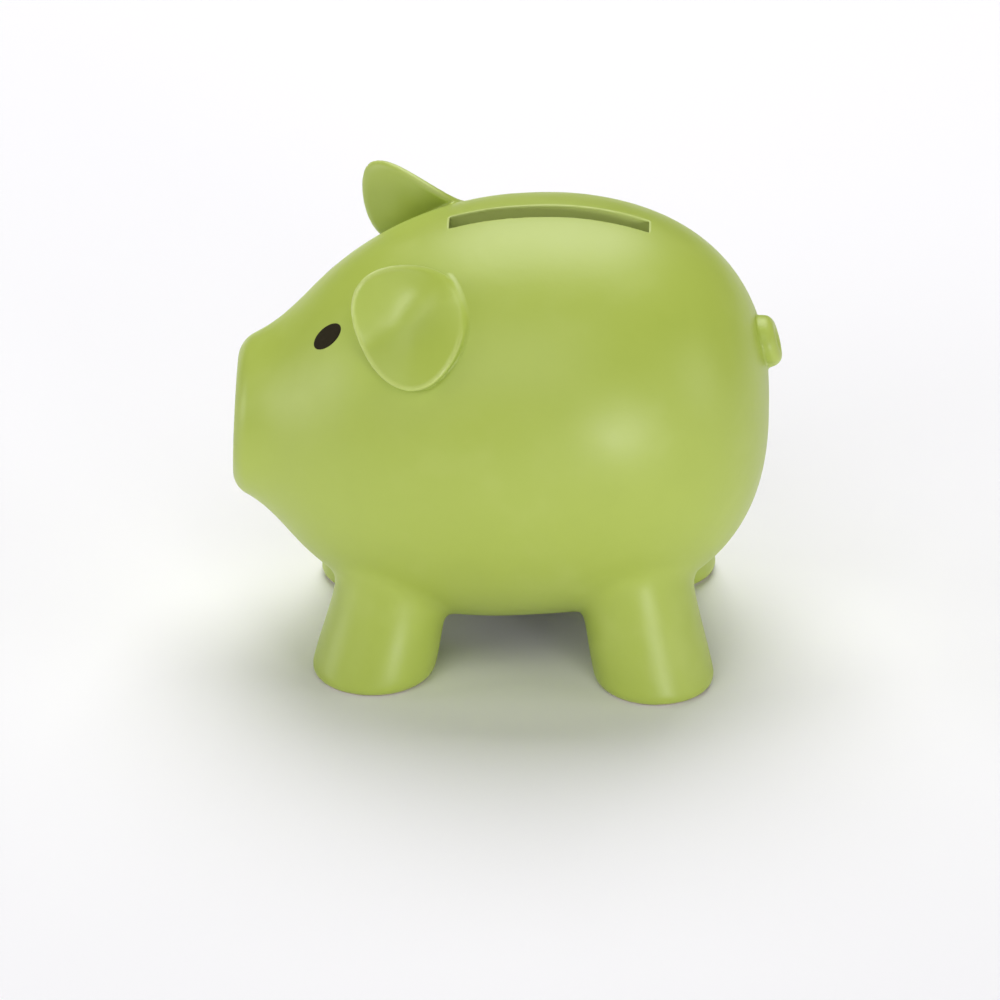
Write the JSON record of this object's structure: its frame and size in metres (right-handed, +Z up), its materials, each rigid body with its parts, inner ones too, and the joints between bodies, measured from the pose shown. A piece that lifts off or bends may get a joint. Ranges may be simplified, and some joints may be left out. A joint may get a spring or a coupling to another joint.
{
  "type": "pig-shaped coin bank",
  "caption": "Hollow pig-shaped coin bank standing on short legs, with a coin slot along its back, cupped ears, a curled tail and a soft push-in stopper in the belly.",
  "frame": {"origin": "on the floor the bank stands on, under the middle of its bounding box", "axes": "+Z up, the snout points along -X, the pig's own left side is toward -Y"},
  "size_m": [0.1054, 0.0772, 0.0882],
  "materials": {
    "green_glaze": "satin yellow-green glaze",
    "eye_paint": "flat near-black underglaze",
    "stopper_rubber": "matt soft rubber"
  },
  "bodies": {
    "bank": {"body_shell": "green_glaze", "left_ear": "green_glaze", "right_ear": "green_glaze", "tail": "green_glaze", "left_eye": "eye_paint", "right_eye": "eye_paint"},
    "stopper": {"belly_stopper": "stopper_rubber"}
  },
  "joints": [
    {"name": "stopper_pull", "type": "slide", "parent": "bank", "child": "stopper", "axis": [0, 0, -1], "range_m": [0, 0.0065]}
  ]
}
